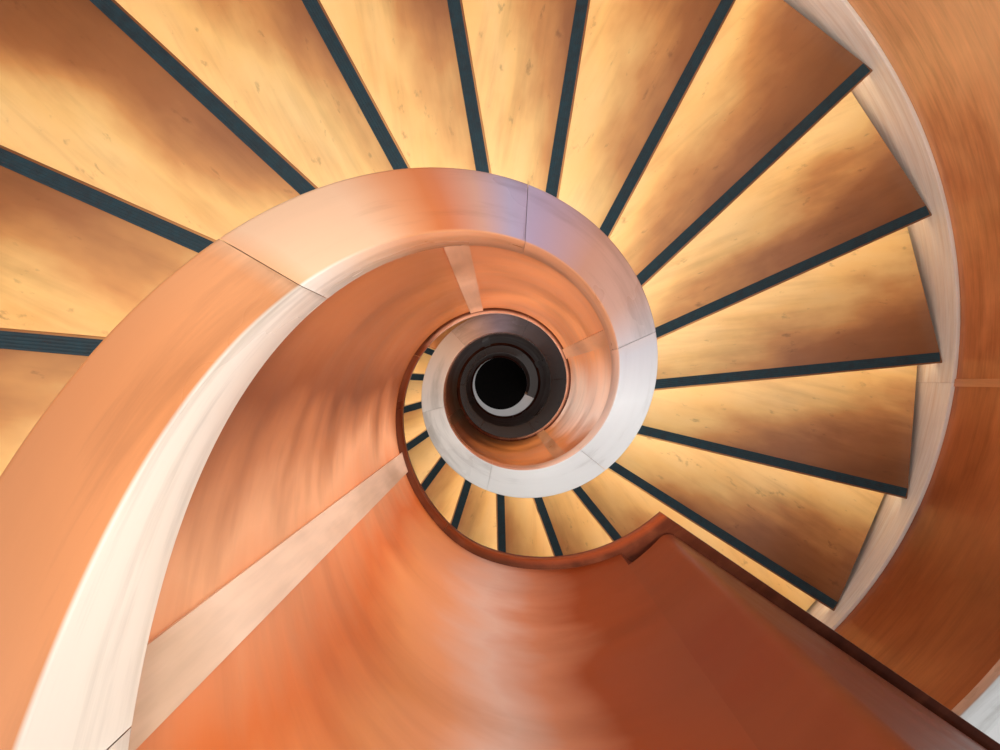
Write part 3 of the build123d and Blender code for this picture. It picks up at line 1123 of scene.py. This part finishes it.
def painted_shade_plate():
    """A thin dark plate that closes the floor inside the well, with a bevelled edge. It is
    painted shade, which keeps the well's bottom dark.
    """
    build = Build()
    rim = well_panel_radius - shade_plate_gap
    profile = (
        (rim, 0.0), (rim, shade_plate_thickness - shade_plate_bevel),
        (rim - 2 * shade_plate_bevel, shade_plate_thickness),
    )
    points = [turned_point(radius, 0.0, math.tau * number / shade_plate_corners, height)
              for radius, height in profile for number in range(shade_plate_corners)]
    faces = grid_faces(len(profile), shade_plate_corners)
    build.add(points, faces, points, 0.0, [0.0] * len(points))
    build.object("painted_shade_plate", painted_shade_plate_material, "nosing_strip")


def cad_nodes():
    """The CAD nodes that stay, in their own materials."""
    for name, material in (
        ("mid_landing_threshold", beam_wood), ("top_landing_threshold", beam_wood),
        ("mid_landing_edge_beam", beam_wood), ("top_landing_edge_beam", beam_wood),
        ("lower_outer_end_posts", post_wood), ("upper_outer_end_posts", post_wood),
        ("inner_end_post", post_wood), ("foot_plate", foot_steel),
    ):
        node = frame["nodes"][name]
        node.data.materials.clear()
        node.data.materials.append(material)


# The pieces, in an order that the random draws depend on
cad_nodes()
well_walls()
inner_copings()
guard()
well_covers()
outer_walls()
soffits()
steps()
light_strips()
landings()
painted_shade_plate()


# Floor, light and camera


floor_half_width = 40.0
world_level = 0.9
world_overhead = 0.42


def floor():
    nodes = material_nodes("studio floor")
    cloud = nodes.noise(nodes.own_place(), 0.8, 4.0, 0.5)
    colour = nodes.ramp(cloud, (0.3, (0.84, 0.83, 0.82)), (0.7, (0.88, 0.87, 0.86)))
    material = nodes.surface(colour=colour, roughness=0.8)
    mesh = bpy.data.meshes.new("studio floor")
    far = floor_half_width
    mesh.from_pydata(
        [(-far, -far, 0), (far, -far, 0), (far, far, 0), (-far, far, 0)], [], [(0, 1, 2, 3)])
    mesh.materials.append(material)
    plane = bpy.data.objects.new("studio_floor", mesh)
    scene.collection.objects.link(plane)


def world():
    """White behind the object, and a dimmer soft light from all round, dimmest overhead."""
    scene.world = bpy.data.worlds.new("studio")
    nodes = Nodes(scene.world)
    rays = nodes.add("ShaderNodeLightPath").outputs
    seen = nodes.math("MAXIMUM", rays["Is Camera Ray"], rays["Is Glossy Ray"])
    seen = nodes.math("MAXIMUM", seen, rays["Is Transmission Ray"])
    direction = nodes.apart(nodes.add("ShaderNodeTexCoord").outputs["Generated"])
    light = nodes.level(direction["Z"], 0.0, 1.0, world_level, world_overhead)
    background = nodes.tree.nodes["Background"].inputs
    background["Color"].default_value = (1.0, 1.0, 1.0, 1.0)
    nodes.feed(background["Strength"], nodes.level(seen, 0.0, 1.0, light, 1.0))


def area_light(name, place, size, power, colour):
    """A round soft light that faces the top of the well."""
    data = bpy.data.lights.new(name, "AREA")
    data.shape = "DISK"
    data.size = size
    data.energy = power
    data.color = colour
    lamp = bpy.data.objects.new(name, data)
    scene.collection.objects.link(lamp)
    lamp.location = place
    lamp.rotation_mode = "QUATERNION"
    well_mouth = axis + Vector((0.0, 0.0, landing_height(storeys - 1)))
    lamp.rotation_quaternion = (well_mouth - place).to_track_quat("-Z", "Y")


well_lamp_radius = 0.12
well_spot_angle = 36.0


def well_lamp(name, kind, height, power):
    """A small soft lamp on the well's axis, which itself isn't seen."""
    data = bpy.data.lights.new(name, kind)
    data.shadow_soft_size = well_lamp_radius
    data.energy = power
    if kind == "SPOT":
        data.spot_size = math.radians(well_spot_angle)
        data.spot_blend = 1.0
    lamp = bpy.data.objects.new(name, data)
    scene.collection.objects.link(lamp)
    lamp.location = axis + Vector((0.0, 0.0, height))
    lamp.visible_camera = False
    lamp.visible_glossy = False


# The camera looks straight down the well. Its place is given from the stair's axis, and the
# nadir is the point of the picture that lies straight below it.
camera_offset = Vector((-0.037, 0.046, 9.542))
focal_length_pixels = 748.6
image_width_pixels = 1000
image_height_pixels = 750
nadir_pixel = (498.0, 379.8)


def camera():
    data = bpy.data.cameras.new("camera")
    data.sensor_width = 36.0
    data.lens = focal_length_pixels / image_width_pixels * data.sensor_width
    data.clip_start = 0.01
    data.clip_end = 200.0
    eye = bpy.data.objects.new("camera", data)
    scene.collection.objects.link(eye)
    eye.location = axis + camera_offset
    tilt_up = math.atan((nadir_pixel[1] - image_height_pixels / 2) / focal_length_pixels)
    tilt_side = math.atan((nadir_pixel[0] - image_width_pixels / 2) / focal_length_pixels)
    eye.rotation_euler = (tilt_up, tilt_side, 0.0)
    scene.camera = eye


roof_lights = 6
roof_light_ring = 2.0
roof_light_height = 15.5
roof_light_size = 2.0
roof_light_power = 24.0
roof_light_colour = (1.0, 0.98, 0.97)
side_light_place = Vector((-5.0, -4.5, 19.0))
side_light_size = 4.0
side_light_power = 450.0
side_light_colour = (1.0, 0.98, 0.96)
# Heights and powers
well_spot = (10.2, 220.0)
well_lamps = ((9.0, 2.0), (8.3, 2.2), (7.6, 2.4), (6.9, 3.4), (6.2, 4.4), (5.5, 4.6))


def lights():
    """A ring of lights over the well leaves its bottom dark, and one to the side gives
    shadows. A spot light down the well's middle reaches its second turn, and lamps between
    fill the walls."""
    for number in range(roof_lights):
        turned = math.radians(360 / roof_lights * number)
        place = turned_point(roof_light_ring, 0.0, turned, roof_light_height)
        area_light(f"roof light {number}", place, roof_light_size, roof_light_power,
                   roof_light_colour)
    area_light("side light", axis + side_light_place, side_light_size, side_light_power,
               side_light_colour)
    well_lamp("well spot", "SPOT", *well_spot)
    for height, power in well_lamps:
        well_lamp("well lamp", "POINT", height, power)


floor()
world()
lights()
camera()

scene.view_settings.view_transform = "Standard"
